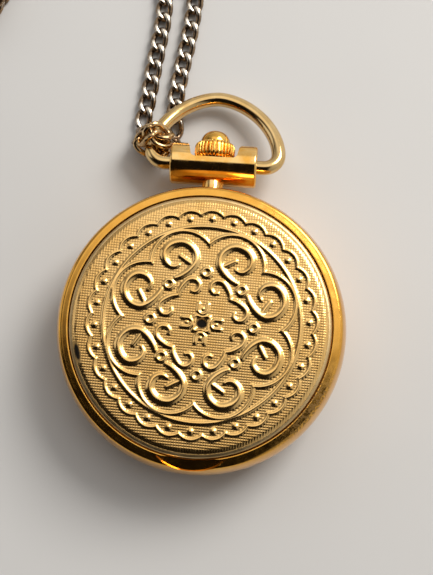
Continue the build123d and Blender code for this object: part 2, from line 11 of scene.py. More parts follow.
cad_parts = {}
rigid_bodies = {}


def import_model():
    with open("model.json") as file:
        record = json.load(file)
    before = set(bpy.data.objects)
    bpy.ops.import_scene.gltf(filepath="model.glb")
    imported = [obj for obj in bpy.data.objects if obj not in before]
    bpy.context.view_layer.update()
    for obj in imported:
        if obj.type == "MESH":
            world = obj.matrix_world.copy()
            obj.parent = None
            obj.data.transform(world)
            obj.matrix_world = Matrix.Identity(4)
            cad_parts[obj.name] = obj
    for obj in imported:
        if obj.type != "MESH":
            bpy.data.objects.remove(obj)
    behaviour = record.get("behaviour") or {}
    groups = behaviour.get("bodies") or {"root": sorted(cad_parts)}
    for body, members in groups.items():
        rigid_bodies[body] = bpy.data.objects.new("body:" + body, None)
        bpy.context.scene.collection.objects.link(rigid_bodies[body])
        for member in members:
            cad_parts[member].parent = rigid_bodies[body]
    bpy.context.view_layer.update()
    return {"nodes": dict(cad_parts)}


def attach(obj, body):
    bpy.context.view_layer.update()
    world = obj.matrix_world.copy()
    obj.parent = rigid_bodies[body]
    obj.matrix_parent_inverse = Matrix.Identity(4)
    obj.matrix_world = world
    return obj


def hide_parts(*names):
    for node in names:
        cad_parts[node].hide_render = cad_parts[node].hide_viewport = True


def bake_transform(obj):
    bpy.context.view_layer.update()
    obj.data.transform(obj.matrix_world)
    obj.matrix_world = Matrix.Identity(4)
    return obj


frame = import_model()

MM = 0.001

# ---- the camera ----------------------------------------------------------------------------------
CAMERA_AT = (7.0, -16.1, 139.7)  # mm
CAMERA_TURNS = (-0.15881, -0.04132, -0.07021)  # about X, Y and Z, radians
CAMERA_LENS = 91.5
SENSOR = 36.0


def add_camera():
    turn_x, turn_y, turn_z = CAMERA_TURNS
    to_camera = Matrix.Rotation(turn_z, 3, "Z") @ Matrix.Rotation(turn_x, 3, "X")
    to_camera = to_camera @ Matrix.Rotation(turn_y, 3, "Y")
    data = bpy.data.cameras.new("camera")
    data.lens = CAMERA_LENS
    data.sensor_width = SENSOR
    data.sensor_fit = "HORIZONTAL"
    data.clip_start, data.clip_end = 0.005, 20
    camera = bpy.data.objects.new("camera", data)
    camera.matrix_world = Matrix.Translation(Vector(CAMERA_AT) * MM) @ to_camera.transposed().to_4x4()
    bpy.context.collection.objects.link(camera)
    bpy.context.scene.camera = camera


add_camera()


# ---- mesh helpers --------------------------------------------------------------------------------
CREASE = 35.0  # edges sharper than this many degrees stay sharp


def add_mesh(name, points, faces, material, crease=CREASE):
    """A shaded object from points in millimetres."""
    mesh = bpy.data.meshes.new(name)
    mesh.from_pydata((np.asarray(points, float) * MM).tolist(), [], faces)
    mesh.validate()
    mesh.materials.append(material)
    finish_shading(mesh, crease)
    thing = bpy.data.objects.new(name, mesh)
    bpy.context.collection.objects.link(thing)
    return thing


def finish_shading(mesh, crease):
    """Smooth shading, except across edges sharper than the crease."""
    mesh.polygons.foreach_set("use_smooth", [True] * len(mesh.polygons))
    mesh.set_sharp_from_angle(angle=math.radians(crease))
    mesh.update()


def grid_faces(rows, columns, wrap_rows=False, wrap_columns=True):
    """Quads over a grid of rows by columns of points."""
    faces = []
    for i in range(rows if wrap_rows else rows - 1):
        for j in range(columns if wrap_columns else columns - 1):
            a, b = i * columns + j, i * columns + (j + 1) % columns
            low = ((i + 1) % rows) * columns
            faces.append((a, b, low + (j + 1) % columns, low + j))
    return faces


def evaluated(thing):
    """Apply the modifiers on an object."""
    graph = bpy.context.evaluated_depsgraph_get()
    mesh = bpy.data.meshes.new_from_object(thing.evaluated_get(graph))
    thing.modifiers.clear()
    old, thing.data = thing.data, mesh
    mesh.name = thing.name
    bpy.data.meshes.remove(old)
    finish_shading(mesh, CREASE)


def cut_out(thing, others):
    """Cut other objects out of one, and remove them."""
    for other in others:
        modifier = thing.modifiers.new("boolean", "BOOLEAN")
        modifier.operation = "DIFFERENCE"
        modifier.solver = "EXACT"
        modifier.object = other
    evaluated(thing)
    for other in others:
        mesh = other.data
        bpy.data.objects.remove(other)
        bpy.data.meshes.remove(mesh)


def soften(thing, width, limit, segments):
    """Round the sharp edges by a width in millimetres."""
    modifier = thing.modifiers.new("bevel", "BEVEL")
    modifier.width = width * MM
    modifier.segments = segments
    modifier.limit_method = "ANGLE"
    modifier.angle_limit = math.radians(limit)
    modifier.use_clamp_overlap = True
    evaluated(thing)


def arc(start, middle, end, steps):
    """Points along the circle through three points, both ends included."""
    (ax, ay), (bx, by), (cx, cy) = start, middle, end
    d = 2 * (ax * (by - cy) + bx * (cy - ay) + cx * (ay - by))
    a2, b2, c2 = ax * ax + ay * ay, bx * bx + by * by, cx * cx + cy * cy
    ox = (a2 * (by - cy) + b2 * (cy - ay) + c2 * (ay - by)) / d
    oy = (a2 * (cx - bx) + b2 * (ax - cx) + c2 * (bx - ax)) / d
    radius = math.hypot(ax - ox, ay - oy)
    first, way = math.atan2(ay - oy, ax - ox), math.atan2(by - oy, bx - ox)
    last = math.atan2(cy - oy, cx - ox)
    span = (last - first) % (2 * math.pi)
    if (way - first) % (2 * math.pi) > span:
        span -= 2 * math.pi
    return [
        (ox + radius * math.cos(first + span * i / steps), oy + radius * math.sin(first + span * i / steps))
        for i in range(steps + 1)
    ]


def rounded(points, radius, steps=4):
    """A closed outline with every corner rounded. A point may be (x, y, radius) to have its own."""
    out = []
    count = len(points)
    for i, point in enumerate(points):
        here = Vector(point[:2])
        before, after = Vector(points[i - 1][:2]) - here, Vector(points[(i + 1) % count][:2]) - here
        r = point[2] if len(point) > 2 else radius
        half = before.angle(after) / 2
        reach = min(r / math.tan(half), 0.48 * before.length, 0.48 * after.length)
        if r == 0 or reach < 1e-6 or half > math.radians(87):
            out.append(tuple(here))
            continue
        r = reach * math.tan(half)
        middle = here + (before.normalized() + after.normalized()).normalized() * (r / math.sin(half))
        first, last = here + before.normalized() * reach, here + after.normalized() * reach
        nearest = middle + (here - middle).normalized() * r
        out.extend(arc(tuple(first), tuple(nearest), tuple(last), steps))
    return out


def placed(points, frame_of):
    """Points in a frame given as a matrix in mm, or as they are without one."""
    if frame_of is None:
        return np.array(points)
    return np.array(points) @ np.array(frame_of.to_3x3()).T + np.array(frame_of.translation)


def lathe(name, outline, material, segments, frame_of=None):
    """A closed outline of (radius, height) turned about Z, or about the Z axis of another frame."""
    outline = [p for i, p in enumerate(outline) if math.dist(p, outline[i - 1]) > 1e-4]
    angles = np.arange(segments) * 2 * math.pi / segments
    points, rings = [], []
    for radius, height in outline:
        if radius < 1e-6:
            rings.append([len(points)])
            points.append((0.0, 0.0, height))
        else:
            rings.append(list(range(len(points), len(points) + segments)))
            points.extend((radius * math.cos(a), radius * math.sin(a), height) for a in angles)
    faces = []
    for k, low in enumerate(rings):
        high = rings[(k + 1) % len(rings)]
        if len(low) == 1 and len(high) == 1:
            continue
        for j in range(segments):
            n = (j + 1) % segments
            if len(low) == 1:
                faces.append((low[0], high[n], high[j]))
            elif len(high) == 1:
                faces.append((low[j], low[n], high[0]))
            else:
                faces.append((low[j], low[n], high[n], high[j]))
    thing = add_mesh(name, placed(points, frame_of), faces, material)
    face_outward(thing, CREASE)
    return thing


def add_values(thing, name, values):
    """A number for each point of a mesh, for its material to read."""
    layer = thing.data.attributes.new(name, "FLOAT", "POINT")
    layer.data.foreach_set("value", np.asarray(values).astype(np.float32))


def face_outward(thing, crease):
    """Turn every face of a closed mesh outward."""
    work = bmesh.new()
    work.from_mesh(thing.data)
    bmesh.ops.recalc_face_normals(work, faces=work.faces)
    work.to_mesh(thing.data)
    work.free()
    finish_shading(thing.data, crease)


def prism(name, outline, low, high, material, frame_of=None):
    """A closed outline in XY raised from one height to another."""
    count = len(outline)
    points = [(x, y, low) for x, y in outline] + [(x, y, high) for x, y in outline]
    faces = [tuple(range(count)), tuple(range(count, 2 * count))]
    faces += [(i, (i + 1) % count, count + (i + 1) % count, count + i) for i in range(count)]
    thing = add_mesh(name, placed(points, frame_of), faces, material)
    face_outward(thing, CREASE)
    return thing


def tube(path, radii, sides, ups, closed=False):
    """Points and faces of a round tube along a path. ups are the directions that its first side faces."""
    path, count = np.asarray(path, float), len(path)
    if closed:
        ahead = np.roll(path, -1, axis=0) - np.roll(path, 1, axis=0)
    else:
        ahead = np.gradient(path, axis=0)
    ahead /= np.linalg.norm(ahead, axis=1)[:, None]
    ups = np.broadcast_to(np.asarray(ups, float), path.shape)
    across = np.cross(ahead, ups)
    across /= np.linalg.norm(across, axis=1)[:, None]
    ups = np.cross(across, ahead)
    radii = np.broadcast_to(np.asarray(radii, float), (count,))
    turn = np.arange(sides) * 2 * math.pi / sides
    ring = across[:, None, :] * np.cos(turn)[None, :, None] + ups[:, None, :] * np.sin(turn)[None, :, None]
    points = (path[:, None, :] + ring * radii[:, None, None]).reshape(-1, 3)
    faces = grid_faces(count, sides, wrap_rows=closed)
    if not closed:
        faces.append(tuple(range(sides - 1, -1, -1)))
        faces.append(tuple(range((count - 1) * sides, count * sides)))
    return points, faces


def join(parts):
    """One list of points and one of faces from several."""
    points, faces, base = [], [], 0
    for p, f in parts:
        points.append(np.asarray(p, float))
        faces.extend(tuple(i + base for i in face) for face in f)
        base += len(p)
    return np.concatenate(points), faces


# ---- materials -----------------------------------------------------------------------------------
class NodeTree:
    """Short names for the nodes that the materials and the world share."""

    def __init__(self, tree):
        self.tree = tree

    def link(self, a, b):
        self.tree.links.new(a, b)

    def fill(self, socket, value):
        """Give a socket a number, a colour or another node's output."""
        if isinstance(value, (int, float)):
            socket.default_value = value
        elif isinstance(value, tuple):
            socket.default_value = (*value, 1)
        else:
            self.link(value, socket)

    def spread(self, value, from_low, from_high, low, high, interpolation="LINEAR"):
        """A value carried from one range to another."""
        node = self.tree.nodes.new("ShaderNodeMapRange")
        node.interpolation_type = interpolation
        node.inputs["From Min"].default_value = from_low
        node.inputs["From Max"].default_value = from_high
        node.inputs["To Min"].default_value = low
        node.inputs["To Max"].default_value = high
        self.link(value, node.inputs["Value"])
        return node.outputs["Result"]

    def maths(self, operation, a, b):
        node = self.tree.nodes.new("ShaderNodeMath")
        node.operation = operation
        self.fill(node.inputs[0], a)
        self.fill(node.inputs[1], b)
        return node.outputs["Value"]

    def mix(self, share, a, b):
        """A colour part way between two."""
        node = self.tree.nodes.new("ShaderNodeMix")
        node.data_type = "RGBA"
        for socket, value in ((node.inputs[0], share), (node.inputs[6], a), (node.inputs[7], b)):
            self.fill(socket, value)
        return node.outputs[2]


class Nodes(NodeTree):
    """Short names for building one node material."""

    def __init__(self, name):
        self.material = bpy.data.materials.new(name)
        self.material.use_nodes = True
        super().__init__(self.material.node_tree)
        self.shader = self.tree.nodes["Principled BSDF"]
        self.place = self.tree.nodes.new("ShaderNodeTexCoord").outputs["Object"]

    def noise(self, size, detail=3.0, roughness=0.55, stretch=None):
        """Noise with features of a size in millimetres."""
        node = self.tree.nodes.new("ShaderNodeTexNoise")
        node.inputs["Scale"].default_value = 1 / (size * MM)
        node.inputs["Detail"].default_value = detail
        node.inputs["Roughness"].default_value = roughness
        place = self.place
        if stretch:
            mapping = self.tree.nodes.new("ShaderNodeMapping")
            mapping.inputs["Scale"].default_value = stretch
            self.link(place, mapping.inputs["Vector"])
            place = mapping.outputs["Vector"]
        self.link(place, node.inputs["Vector"])
        return node.outputs["Fac"]

    def attribute(self, name):
        node = self.tree.nodes.new("ShaderNodeAttribute")
        node.attribute_name = name
        return node.outputs["Fac"]

    def bump(self, height, depth):
        """Bump of a depth in millimetres."""
        node = self.tree.nodes.new("ShaderNodeBump")
        node.inputs["Distance"].default_value = depth * MM
        node.inputs["Strength"].default_value = 1.0
        self.link(height, node.inputs["Height"])
        self.link(node.outputs["Normal"], self.shader.inputs["Normal"])

    def set(self, **values):
        for name, value in values.items():
            self.fill(self.shader.inputs[name.replace("_", " ")], value)


WORN_DARK = (0.16, 0.10, 0.05)


def metal(name, colour, shade, rough, spread=0.06, patch=2.0, scratch=0.0012, speck=0.0, worn=None):
    """Polished or brushed metal, uneven in tone and gloss, with fine scratches and specks of wear.

    Its last argument is the colour of the faces that an attribute of the same name marks: rubbed plating,
    made paler there as a painted highlight. A "pitted" attribute adds pits.
    """
    n = Nodes(name)
    tone = n.spread(n.noise(patch, 4), 0.35, 0.65, 0, 1)
    base = n.mix(tone, colour, shade)
    # the marked faces take a paler colour: rubbed plating, and a painted highlight
    if worn:
        base = n.mix(n.attribute("worn"), base, worn)
    fine = n.noise(0.22, 2, stretch=(1.0, 0.14, 1.0))
    roughness = n.spread(n.noise(patch * 0.6, 5, 0.65), 0.3, 0.7, rough - spread, rough + spread)
    if speck:
        spots = n.spread(n.noise(0.35, 3, 0.7), 0.60, 0.72, 0, speck)
        pits = n.spread(n.noise(0.28, 3, 0.7), 0.47, 0.53, 0, 1)
        spots = n.maths("MAXIMUM", spots, n.maths("MULTIPLY", pits, n.attribute("pitted")))
        base = n.mix(spots, base, WORN_DARK)
        roughness = n.maths("ADD", roughness, n.maths("MULTIPLY", spots, 0.3))
    n.set(Base_Color=base, Metallic=1.0, Roughness=roughness)
    n.bump(fine, scratch)
    return n.material


GOLD = (0.80, 0.43, 0.085)
GOLD_DEEP = (0.72, 0.36, 0.06)
PALE_GOLD = (0.74, 0.53, 0.25)
BRONZE = (0.16, 0.11, 0.075)
# the chain's upper filed faces: rubbed pale plating, lightened further as a painted highlight
WORN_HIGHLIT_LINK = (0.86, 0.80, 0.70)

gold_case = metal("gold_case", GOLD, GOLD_DEEP, 0.17, speck=0.10)
gold_bar = metal("gold_bar", (0.90, 0.60, 0.24), GOLD, 0.12, speck=0.04)
gold_crown = metal("gold_crown", (0.92, 0.57, 0.14), GOLD_DEEP, 0.14, speck=0.05)
gold_bow = metal("gold_bow", PALE_GOLD, (0.68, 0.45, 0.18), 0.13, speck=0.05)
gold_rim = metal("gold_rim", (0.66, 0.48, 0.24), (0.56, 0.39, 0.18), 0.34, speck=0.25)
chain_bronze = metal(
    "chain_bronze", (0.40, 0.28, 0.17), BRONZE, 0.20, spread=0.08, patch=0.8, speck=0.35, worn=WORN_HIGHLIT_LINK
)
# a paler, golden copy of the chain's bronze for the links wound round the bow: a painted reflection of the
# gold bow
chain_gold_reflection = metal("chain_gold_reflection", (0.72, 0.50, 0.24), (0.30, 0.18, 0.09), 0.16, patch=0.8, speck=0.30)
steel = metal("steel", (0.62, 0.62, 0.60), (0.54, 0.54, 0.53), 0.28, scratch=0.002)
nickel = metal("nickel", (0.70, 0.68, 0.63), (0.62, 0.60, 0.55), 0.34, scratch=0.003)
cut_brass = metal("cut_brass", (0.78, 0.58, 0.28), (0.70, 0.50, 0.22), 0.26, scratch=0.002)
iron = metal("iron", (0.40, 0.40, 0.42), (0.33, 0.33, 0.34), 0.42, scratch=0.003)
copper = metal("copper", (0.75, 0.34, 0.16), (0.62, 0.26, 0.11), 0.30, scratch=0.004)
cell_steel = metal("cell_steel", (0.74, 0.74, 0.74), (0.66, 0.66, 0.67), 0.30, scratch=0.002)
magnet = metal("magnet", (0.20, 0.20, 0.21), (0.15, 0.15, 0.16), 0.45)


def embossed_gold():
    """Struck gold, darkened brown in its hollows by dirt and painted shade, and near black in its centre pit
    and at a chip where its plating is gone.
    """
    n = Nodes("gold_embossed")
    tone = n.spread(n.noise(3.0, 4), 0.35, 0.65, 0, 1)
    base = n.mix(tone, (0.93, 0.61, 0.24), (0.86, 0.53, 0.18))
    hollow = n.attribute("hollow")
    # dirt and painted shade: the hollows of the struck grid darken to brown
    grime_and_shade = n.maths("MULTIPLY", hollow, n.spread(n.noise(1.2, 4), 0.3, 0.7, 0.55, 1.0))
    base = n.mix(grime_and_shade, base, (0.24, 0.11, 0.025))
    # painted near black and not metal: the recessed centre pit, and the chip at the edge where the plating
    # is gone
    bare = n.attribute("bare")
    base = n.mix(bare, base, (0.012, 0.010, 0.008))
    rough = n.spread(n.noise(1.6, 5, 0.65), 0.3, 0.7, 0.14, 0.22)
    rough = n.maths("ADD", rough, n.maths("MULTIPLY", grime_and_shade, 0.25))
    shine = n.spread(bare, 0, 1, 1.0, 0.0)
    rough = n.maths("MAXIMUM", rough, n.maths("MULTIPLY", bare, 0.8))
    n.set(Base_Color=base, Metallic=shine, Roughness=rough, Specular_IOR_Level=0.05)
    n.bump(n.noise(0.10, 3), 0.004)
    return n.material


def plain(name, colour, shade, rough, grain=0.12, depth=0.004, patch=1.5):
    """Plastic, paint or rubber: a little uneven in tone and gloss, with a fine grain."""
    n = Nodes(name)
    base = n.mix(n.spread(n.noise(patch, 4), 0.35, 0.65, 0, 1), colour, shade)
    n.set(Base_Color=base, Roughness=n.spread(n.noise(patch, 4), 0.3, 0.7, rough - 0.05, rough + 0.05))
    n.bump(n.noise(grain, 3), depth)
    return n.material


gold_embossed = embossed_gold()
dial_white = plain("dial_white", (0.90, 0.88, 0.82), (0.86, 0.83, 0.76), 0.28, depth=0.001)
ink = plain("ink", (0.02, 0.02, 0.025), (0.03, 0.03, 0.03), 0.35, depth=0.001)
rubber = plain("rubber", (0.03, 0.03, 0.03), (0.045, 0.045, 0.045), 0.6)
holder_plastic = plain("holder_plastic", (0.80, 0.79, 0.74), (0.75, 0.73, 0.68), 0.45)
board_green = plain("board_green", (0.03, 0.20, 0.09), (0.02, 0.15, 0.07), 0.35, patch=0.8)
resin = plain("resin", (0.02, 0.02, 0.02), (0.03, 0.03, 0.03), 0.4)


def glass_material():
    """Clear glass with a faint unevenness in its polish."""
    n = Nodes("glass")
    n.set(Base_Color=(0.96, 0.98, 0.98), Roughness=n.spread(n.noise(3.0), 0.3, 0.7, 0.01, 0.04))
    n.set(Transmission_Weight=1.0, IOR=1.5)
    return n.material


glass = glass_material()

CAD_FINISH = {
    steel: (
        "stem", "clutch_pinion", "setting_lever", "battery_clamp", "movement_screws", "rotor_pinion",
        "quartz_can",
    ),
    nickel: ("main_plate", "train_bridge"),
    cut_brass: (
        "centre_wheel", "cannon_pinion", "hour_wheel", "minute_wheel", "third_wheel", "second_wheel",
        "intermediate_wheel",
    ),
    iron: ("coil_core", "stator"),
    copper: ("coil_winding",),
    cell_steel: ("battery",),
    magnet: ("rotor_magnet",),
    rubber: ("crystal_gasket", "back_gasket", "stem_gasket"),
    holder_plastic: ("movement_holder",),
    board_green: ("circuit_board",),
    resin: ("ic_cap",),
    glass: ("crystal",),
    dial_white: ("dial",),
    gold_bar: ("dial_indexes",),
    ink: ("hour_hand", "minute_hand", "second_hand"),
}
for finish, names in CAD_FINISH.items():
    for node in names:
        part = frame["nodes"][node]
        part = bpy.data.objects[part] if isinstance(part, str) else part
        part.data.materials.clear()
        part.data.materials.append(finish)


# ---- dial print ----------------------------------------------------------------------------------
DIAL_FRONT_Z = 3.40
PRINT_T = 0.02
NUMERAL_R, NUMERAL_H = 9.9, 2.5
TRACK_IN_R, TRACK_OUT_R = 13.24, 13.54
HOUR_MARK_W, MINUTE_MARK_W = 0.18, 0.09


def numeral(text, x, y):
    """A printed number, made to be read from the front, where +X is on the left."""
    curve = bpy.data.curves.new("numeral", "FONT")
    curve.body = text
    curve.size = NUMERAL_H * MM
    curve.align_x, curve.align_y = "CENTER", "CENTER"
    curve.extrude = PRINT_T / 2 * MM
    curve.resolution_u = 4
    thing = bpy.data.objects.new("numeral", curve)
    bpy.context.collection.objects.link(thing)
    bpy.context.view_layer.update()
    mesh = bpy.data.meshes.new_from_object(thing.evaluated_get(bpy.context.evaluated_depsgraph_get()))
    points = np.array([v.co for v in mesh.vertices]) / MM * (-1, 1, -1) + (x, y, DIAL_FRONT_Z - PRINT_T / 2)
    faces = [tuple(p.vertices) for p in mesh.polygons]
    for block, data in ((bpy.data.meshes, mesh), (bpy.data.objects, thing), (bpy.data.curves, curve)):
        block.remove(data)
    return points, faces


def dial_print():
    """The minute track, heavier at the hours, and the twelve numbers."""
    parts = []
    box_faces = [(0, 1, 3, 2), (4, 6, 7, 5), (0, 4, 5, 1), (2, 3, 7, 6), (0, 2, 6, 4), (1, 5, 7, 3)]
    levels = (DIAL_FRONT_Z - PRINT_T, DIAL_FRONT_Z)
    for minute in range(60):
        a = math.radians(6 * minute)
        half = (HOUR_MARK_W if minute % 5 == 0 else MINUTE_MARK_W) / 2
        points = [
            (side * math.cos(a) - r * math.sin(a), side * math.sin(a) + r * math.cos(a), z)
            for side in (-half, half) for r in (TRACK_IN_R, TRACK_OUT_R) for z in levels
        ]
        parts.append((np.array(points), box_faces))
    for hour in range(1, 13):
        a = math.radians(30 * hour)
        parts.append(numeral(str(hour), -NUMERAL_R * math.sin(a), NUMERAL_R * math.cos(a)))
    return join(parts)


printed = add_mesh("dial_print", *dial_print(), ink)
face_outward(printed, 35)
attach(printed, "root")

# ---- chain ---------------------------------------------------------------------------------------
PITCH = 2.2  # from link to link
LINK_W = 2.35
LINK_WIRE = 0.36  # the radius of a link's wire
LINK_TWIST = math.radians(-42)
LINK_FLAT = 0.56  # the filed faces, above and below a link's middle
FLOOR_Z = 0.65  # the height of the chain's middle where it lies on the floor
TURN_RADII = (11.0, 9.0, 7.0, 7.0, 9.0, 11.0, 9.0, 11.0)
TURN_HEIGHTS = (0.65, 0.65, 0.65, 1.95, 1.95, 1.95, 3.25, 3.25)
COIL_AT = (-40.4, 48.0)
COIL_START = 0.0  # degrees from +X, where the chain joins the coil
COIL_END = 85.0
COIL_STEP = 20.0
LEFT_ROUTE = [
    (-10.0, 27.0), (-9.5, 30.6), (-9.0, 36.0), (-8.1, 43.5), (-8.9, 50.4), (-14.2, 54.3), (-21.6, 54.8),
    (-27.6, 52.6), (-29.9, 47.6),
]
RIGHT_ROUTE = [
    (-5.5, 26.0), (-6.0, 29.6), (-5.5, 34.4), (-4.6, 40.2), (-4.1, 47.0), (-6.2, 53.6), (-12.6, 58.0),
    (-21.5, 59.2), (-30.0, 59.2), (-37.0, 58.2),
]
LEAVING_HEIGHTS = (3.1, 1.2)  # down off the coil, at the last two points of the right route


def chain_control_points():
    """The whole chain as one line: the left strand, the put-away coil, and back along the right strand."""
    points = [(x, y, FLOOR_Z) for x, y in LEFT_ROUTE]
    turned = COIL_STEP
    total = 360.0 * (len(TURN_RADII) - 1) + (COIL_START - COIL_END) % 360.0
    while turned < total:
        turn, share = int(turned // 360), (turned % 360) / 360
        later = min(turn + 1, len(TURN_RADII) - 1)
        move = min(max((share - 0.80) / 0.20, 0), 1)
        move = move * move * (3 - 2 * move)
        radius = TURN_RADII[turn] * (1 - move) + TURN_RADII[later] * move
        height = TURN_HEIGHTS[turn] * (1 - move) + TURN_HEIGHTS[later] * move
        a = math.radians(COIL_START - turned)
        points.append((COIL_AT[0] + radius * math.cos(a), COIL_AT[1] + radius * math.sin(a), height))
        turned += COIL_STEP
    back = list(reversed(RIGHT_ROUTE))
    heights = list(LEAVING_HEIGHTS) + [FLOOR_Z] * (len(back) - len(LEAVING_HEIGHTS))
    return points + [(x, y, z) for (x, y), z in zip(back, heights)]


def spline_points(name, controls):
    """Points along a NURBS spline through control points in millimetres."""
    curve = bpy.data.curves.new(name, "CURVE")
    curve.dimensions = "3D"
    curve.resolution_u = 12
    spline = curve.splines.new("NURBS")
    spline.points.add(len(controls) - 1)
    for point, (x, y, z) in zip(spline.points, controls):
        point.co = (x * MM, y * MM, z * MM, 1)
    spline.order_u = 3
    spline.use_endpoint_u = True
    thing = bpy.data.objects.new(name, curve)
    bpy.context.collection.objects.link(thing)
    bpy.context.view_layer.update()
    mesh = bpy.data.meshes.new_from_object(thing.evaluated_get(bpy.context.evaluated_depsgraph_get()))
    points = np.array([v.co for v in mesh.vertices]) / MM
    bpy.data.meshes.remove(mesh)
    bpy.data.objects.remove(thing)
    bpy.data.curves.remove(curve)
    return points


def link_shape():
    """One curb link: an oval ring twisted along its length, with filed faces."""
    around, sides = 22, 9
    half_l, half_w = PITCH / 2 + LINK_WIRE, LINK_W / 2 - LINK_WIRE
    t = np.arange(around) * 2 * math.pi / around
    u = half_l * np.sign(np.cos(t)) * np.abs(np.cos(t)) ** 0.85
    v = half_w * np.sin(t)
    twist = LINK_TWIST * u / half_l
    path = np.stack([u, v * np.cos(twist), v * np.sin(twist)], axis=1)
    points, faces = tube(path, LINK_WIRE, sides, (0, 0, 1), closed=True)
    points[:, 2] = np.clip(points[:, 2], -LINK_FLAT, LINK_FLAT)
    return points, faces


def links_along(path, up):
    """Curb links every pitch along a path. up is one direction, or a function of the point."""
    path = np.asarray(path, float)
    run = np.concatenate([[0], np.cumsum(np.linalg.norm(np.diff(path, axis=0), axis=1))])
    count = max(int(round(run[-1] / PITCH)), 1)
    link, faces = link_shape()
    parts = []
    for i in range(count):
        s = (i + 0.5) * run[-1] / count
        here, before, after = (
            np.array([np.interp(min(max(at, 0), run[-1]), run, path[:, k]) for k in range(3)])
            for at in (s, s - 0.9, s + 0.9)
        )
        ahead = (after - before) / np.linalg.norm(after - before)
        top = np.asarray(up(here) if callable(up) else up, float)
        side = np.cross(top, ahead)
        side /= np.linalg.norm(side)
        top = np.cross(ahead, side)
        frame_of = np.stack([ahead, side, top])
        parts.append((here + link @ frame_of, faces))
    return join(parts)


chain_line = spline_points("chain_line", chain_control_points())
chain = add_mesh("chain", *links_along(chain_line, (0, 0, 1)), chain_bronze, crease=50)
one_link, _ = link_shape()
# only the upper filed faces are marked: rubbed plating with a painted highlight where they face the light
filed = np.clip((one_link[:, 2] - LINK_FLAT + 0.06) / 0.05, 0, 1)
add_values(chain, "worn", np.tile(filed, len(chain.data.vertices) // len(one_link)))
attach(chain, "root")
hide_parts("chain_strand_left", "chain_strand_right", "chain_coil")

# ---- bow -----------------------------------------------------------------------------------------
BAR_Y, STEM_Z = 21.2, 4.6
BAR_HALF_W, BAR_R = 5.45, 2.63
WIRE_R = 0.90
BOW_HALF_W, BOW_REACH, BOW_WAIST, BOW_POWER = 8.10, 9.90, 1.85, 1.77
BOW_DROOP = math.radians(15)
BOW_START = 4.3  # how far in the wire's ends reach


def on_bow(x, out, lift=0.0):
    """A point in the bow's plane: across, out from the pivot, and square to the plane."""
    return (
        x,
        BAR_Y + out * math.cos(BOW_DROOP) + lift * math.sin(BOW_DROOP),
        STEM_Z - out * math.sin(BOW_DROOP) + lift * math.cos(BOW_DROOP),
    )


def bow_outline():
    """The bow's middle line, from its right end to its left, as (across, out)."""
    corner = BOW_HALF_W - BOW_WAIST
    half = [(BOW_START + (corner - BOW_START) * i / 6, 0.0) for i in range(6)]
    for i in range(13):
        a = -math.pi / 2 + math.pi / 2 * i / 12
        half.append((corner + BOW_WAIST * math.cos(a), BOW_WAIST + BOW_WAIST * math.sin(a)))
    for i in range(1, 61):
        a = math.pi / 2 * i / 60
        half.append((
            BOW_HALF_W * math.cos(a) ** (2 / BOW_POWER),
            BOW_WAIST + (BOW_REACH - BOW_WAIST) * math.sin(a) ** (2 / BOW_POWER),
        ))
    half = even_steps(half, 90)
    return half + [(-x, y) for x, y in reversed(half[:-1])]


def even_steps(points, count):
    """A line of points cut again into equal steps."""
    points = np.array(points)
    run = np.concatenate([[0], np.cumsum(np.linalg.norm(np.diff(points, axis=0), axis=1))])
    at = np.linspace(0, run[-1], count)
    across, out = (np.interp(at, run, points[:, k]) for k in (0, 1))
    return [(float(x), float(y)) for x, y in zip(across, out)]


bow_line = bow_outline()
plane_normal = (0, math.sin(BOW_DROOP), math.cos(BOW_DROOP))
bow_wire = tube([on_bow(x, y) for x, y in bow_line], WIRE_R, 40, plane_normal)
bow = add_mesh("bow_ring", *bow_wire, gold_bow, crease=60)
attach(bow, "bow")
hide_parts("bow_wire")

# ---- the hitch: links wound round the bow, and the leads down to the two strands -----
HITCH_SPAN = (2.0, 4.5)  # how far out along the bow's left side
HITCH_START = math.radians(200)
HITCH_TURNS = 2.35
HITCH_R = 1.48


def hitch_axis(out):
    """The bow's middle line on its left side, as (across, out)."""
    share = max((out - BOW_WAIST) / (BOW_REACH - BOW_WAIST), 0) ** BOW_POWER
    return (-BOW_HALF_W * (1 - share) ** (1 / BOW_POWER), out)


def hitch_path():
    """A helix round the bow's wire, and the way outward from the wire at each of its points."""
    steps = 80
    path, outward = [], []
    for i in range(steps + 1):
        share = i / steps
        out = HITCH_SPAN[0] + (HITCH_SPAN[1] - HITCH_SPAN[0]) * share
        x, y = hitch_axis(out)
        nx, ny = hitch_axis(out + 0.1)
        side = Vector((y - ny, nx - x)).normalized()
        turn = HITCH_START + HITCH_TURNS * 2 * math.pi * share
        across, lift = math.cos(turn), math.sin(turn)
        outward.append(Vector(on_bow(side.x * across, side.y * across, lift)) - Vector(on_bow(0, 0)))
        path.append(on_bow(x + side.x * across * HITCH_R, y + side.y * across * HITCH_R, lift * HITCH_R))
    return np.array(path), np.array(outward)


winding, winding_out = hitch_path()


def away_from_wire(point):
    """The way outward from the wire at the nearest point of the winding."""
    return winding_out[np.argmin(np.linalg.norm(winding - point, axis=1))]


# the links wound round the bow take the golden copy of the chain's material, a painted reflection of the bow
knot = add_mesh("chain_knot", *links_along(winding, away_from_wire), chain_gold_reflection, crease=50)
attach(knot, "bow")
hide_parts("chain_hitch")

left_lead = spline_points("left_lead", [(-10.2, 26.1, 0.9), (-10.4, 25.1, 1.8), (-9.9, 24.3, 2.9)])
right_lead = spline_points("right_lead", [(-5.4, 25.2, 0.8), (-5.6, 24.5, 1.7), (-6.3, 23.9, 2.9)])
leads = add_mesh(
    "chain_leads",
    *join([links_along(left_lead, (-0.8, 0.3, 0.5)), links_along(right_lead, (0.8, 0.3, 0.5))]),
    chain_bronze,
    crease=50,
)
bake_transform(leads)


# ---- clasp ---------------------------------------------------------------------------------------
CLASP_AT = (-49.4, 48.0)
CLASP_Z = 4.42


